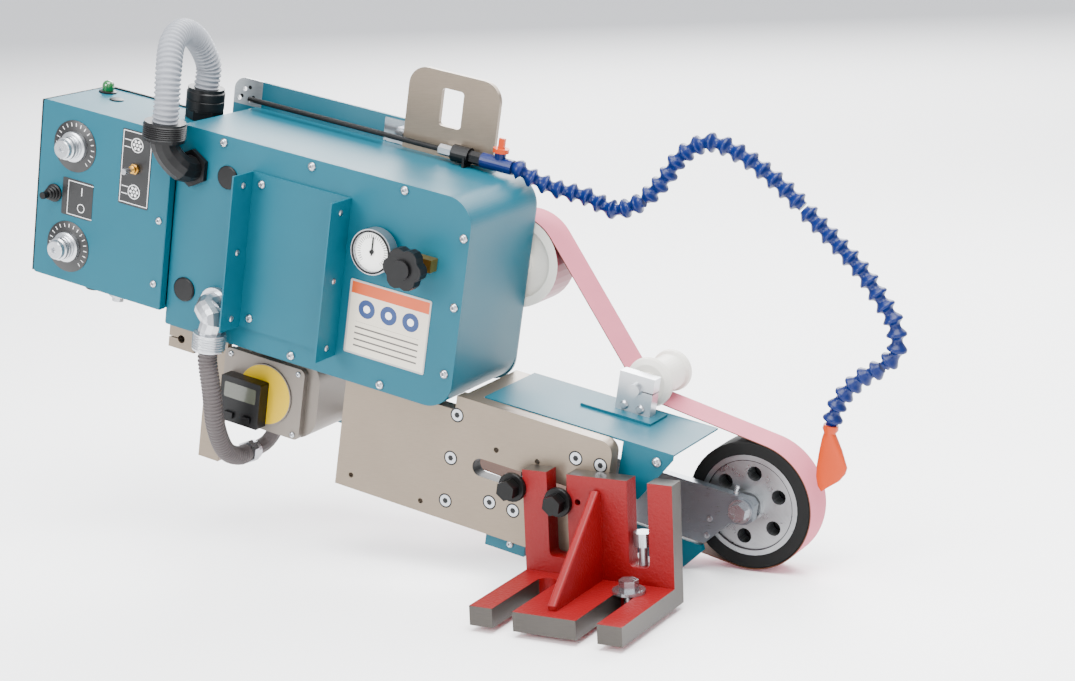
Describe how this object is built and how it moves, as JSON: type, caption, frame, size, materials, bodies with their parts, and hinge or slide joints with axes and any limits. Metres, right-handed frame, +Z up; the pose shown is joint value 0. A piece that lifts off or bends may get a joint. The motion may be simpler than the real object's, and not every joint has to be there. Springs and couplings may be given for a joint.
{
  "type": "lathe-mounted belt grinder",
  "caption": "Abrasive belt finishing head on a slotted bracket, with driven belt, oscillating contact wheel, control box, conduits and a jointed coolant arm.",
  "frame": {"origin": "a point on the flat underside of the bracket foot, on the tongue between its two slots", "axes": "+X right along the bracket face, +Y away from the operator, +Z up, normal to the foot"},
  "size_m": [1.4414, 0.484, 0.8666],
  "materials": {
    "teal": "satin powder coat",
    "red": "textured enamel",
    "plate": "ground",
    "steel": "zinc plated",
    "blackened": "blackened",
    "aluminium": "machined",
    "black": "matt",
    "rubber": "matt",
    "white": "satin",
    "belt": "coated abrasive cloth",
    "blue": "gloss",
    "orange": "gloss",
    "brass": "satin",
    "motor": "matt grey",
    "conduit": "matt",
    "dark_conduit": "matt",
    "green": "gloss"
  },
  "bodies": {
    "bracket": {"mount_bracket": "red", "base_bolt": "steel", "jack_screw": "steel"},
    "head": {"housing_shell": "teal", "housing_cover": "teal", "rear_plate": "teal", "control_box": "teal", "accessory_channel": "teal", "head_guard": "teal", "lower_guard": "teal", "rear_guard": "teal", "side_plate": "plate", "cross_plate": "plate", "lifting_plate": "plate", "hanger_plate": "plate", "split_clamp": "plate", "motor_connector": "steel", "slide_rod": "steel", "tension_post": "steel", "gauge_case": "steel", "box_fitting": "steel", "clamp_bolt_outer": "blackened", "spool_clamp": "aluminium", "elbow_lower": "aluminium", "counter_body": "black", "elbow_upper": "black", "gland_rear": "black", "coolant_tube": "black", "abrasive_belt": "belt", "valve_body": "blue", "regulator_body": "brass", "coolant_manifold": "brass", "motor_body": "motor", "motor_cover": "motor", "conduit_upper": "conduit", "conduit_lower": "dark_conduit", "pilot_lamp": "green"},
    "carriage": {"clamp_bolt_inner": "blackened"},
    "oscillator": {"contact_arm": "steel", "contact_axle": "steel"},
    "contact_wheel": {"contact_hub": "aluminium", "contact_tyre": "rubber"},
    "drive": {"drive_wheel": "aluminium"},
    "tensioner": {"tension_arm": "steel"},
    "idler": {"idler_wheel": "white"},
    "spool": {"guide_spool": "white"},
    "needle": {"gauge_needle": "black"},
    "air_knob": {"regulator_knob": "black"},
    "speed_knob": {"dial_knob_upper": "aluminium"},
    "stroke_knob": {"dial_knob_lower": "aluminium"},
    "power_lever": {"power_toggle": "black"},
    "direction_lever": {"direction_toggle": "steel"},
    "valve": {"valve_handle": "orange"},
    "button_left": {"counter_button_left": "black"},
    "button_right": {"counter_button_right": "black"},
    "hose_a": {"coolant_arm_a": "blue"},
    "hose_b": {"coolant_arm_b": "blue"},
    "hose_c": {"coolant_arm_c": "blue"},
    "hose_d": {"coolant_arm_d": "blue"},
    "nozzle": {"coolant_nozzle": "orange"}
  },
  "joints": [
    {"name": "height_adjust", "type": "slide", "parent": "bracket", "child": "carriage", "axis": [0, 0, 1], "range_m": [-0.02, 0.03]},
    {"name": "head_tilt", "type": "hinge", "parent": "carriage", "child": "head", "pos_m": [-0.06402, 0.1, 0.14463], "axis": [0, 1, 0], "range_deg": [-5, 5]},
    {"name": "head_oscillation", "type": "slide", "parent": "head", "child": "oscillator", "axis": [0, 1, 0], "range_m": [-0.005, 0.005]},
    {"name": "contact_wheel_spin", "type": "hinge", "parent": "oscillator", "child": "contact_wheel", "pos_m": [0.14834, 0.325, 0.09724], "axis": [0, 1, 0], "continuous": true},
    {"name": "drive_wheel_spin", "type": "hinge", "parent": "head", "child": "drive", "pos_m": [-0.63361, 0.325, 0.24618], "axis": [0, 1, 0], "continuous": true},
    {"name": "tension_arm_swing", "type": "hinge", "parent": "head", "child": "tensioner", "pos_m": [-0.35757, 0.363, 0.40849], "axis": [0, 1, 0], "range_deg": [0, 2]},
    {"name": "idler_spin", "type": "hinge", "parent": "tensioner", "child": "idler", "pos_m": [-0.24567, 0.325, 0.46008], "axis": [0, 1, 0], "continuous": true},
    {"name": "guide_spool_spin", "type": "hinge", "parent": "head", "child": "spool", "pos_m": [-0.01113, 0.325, 0.28308], "axis": [0, 1, 0], "continuous": true},
    {"name": "air_pressure_knob", "type": "hinge", "parent": "head", "child": "air_knob", "pos_m": [-0.29273, 0.035, 0.49572], "axis": [0, 1, 0], "range_deg": [-540, 540]},
    {"name": "gauge_needle_swing", "type": "hinge", "parent": "head", "child": "needle", "pos_m": [-0.36363, 0.055, 0.51357], "axis": [0, 1, 0], "range_deg": [-110, 110]},
    {"name": "speed_dial", "type": "hinge", "parent": "head", "child": "speed_knob", "pos_m": [-0.93098, 0.05, 0.65544], "axis": [0, 1, 0], "range_deg": [-135, 135]},
    {"name": "stroke_dial", "type": "hinge", "parent": "head", "child": "stroke_knob", "pos_m": [-0.96459, 0.05, 0.48777], "axis": [0, 1, 0], "range_deg": [-135, 135]},
    {"name": "power_switch", "type": "hinge", "parent": "head", "child": "power_lever", "pos_m": [-0.98292, 0.0637, 0.5769], "axis": [0.9816, 0, -0.1908], "range_deg": [-15, 15]},
    {"name": "direction_switch", "type": "hinge", "parent": "head", "child": "direction_lever", "pos_m": [-0.81098, 0.0637, 0.62294], "axis": [0.1908, 0, 0.9816], "range_deg": [-15, 15]},
    {"name": "coolant_valve", "type": "hinge", "parent": "head", "child": "valve", "pos_m": [-0.24314, 0.258, 0.64602], "axis": [0.1908, 0, 0.9816], "range_deg": [0, 90]},
    {"name": "counter_press_left", "type": "slide", "parent": "head", "child": "button_left", "axis": [0, 1, 0], "range_m": [0, 0.0008], "stiffness_N_per_m": 400},
    {"name": "counter_press_right", "type": "slide", "parent": "head", "child": "button_right", "axis": [0, 1, 0], "range_m": [0, 0.0008], "stiffness_N_per_m": 400},
    {"name": "hose_swivel", "type": "hinge", "parent": "head", "child": "hose_a", "pos_m": [-0.22239, 0.258, 0.61652], "axis": [0.1908, 0, 0.9816], "range_deg": [-10, 12]},
    {"name": "hose_bend_lower", "type": "hinge", "parent": "hose_a", "child": "hose_b", "pos_m": [-0.02071, 0.305, 0.56662], "axis": [0, 1, 0], "range_deg": [-12, 0]},
    {"name": "hose_bend_middle", "type": "hinge", "parent": "hose_b", "child": "hose_c", "pos_m": [0.24228, 0.305, 0.56745], "axis": [0, 1, 0], "range_deg": [-12, 0]},
    {"name": "hose_bend_upper", "type": "hinge", "parent": "hose_c", "child": "hose_d", "pos_m": [0.36661, 0.305, 0.33445], "axis": [0, 1, 0], "range_deg": [-20, 0]},
    {"name": "nozzle_swivel", "type": "hinge", "parent": "hose_d", "child": "nozzle", "pos_m": [0.27984, 0.305, 0.22346], "axis": [0.1908, 0, 0.9816], "range_deg": [-20, 20]}
  ],
  "couplings": [
    {"joint": "drive_wheel_spin", "follows": "contact_wheel_spin", "ratio": 1.6933},
    {"joint": "idler_spin", "follows": "contact_wheel_spin", "ratio": 1.3547},
    {"joint": "guide_spool_spin", "follows": "contact_wheel_spin", "ratio": -3.5034},
    {"joint": "gauge_needle_swing", "follows": "air_pressure_knob", "ratio": 0.2}
  ]
}
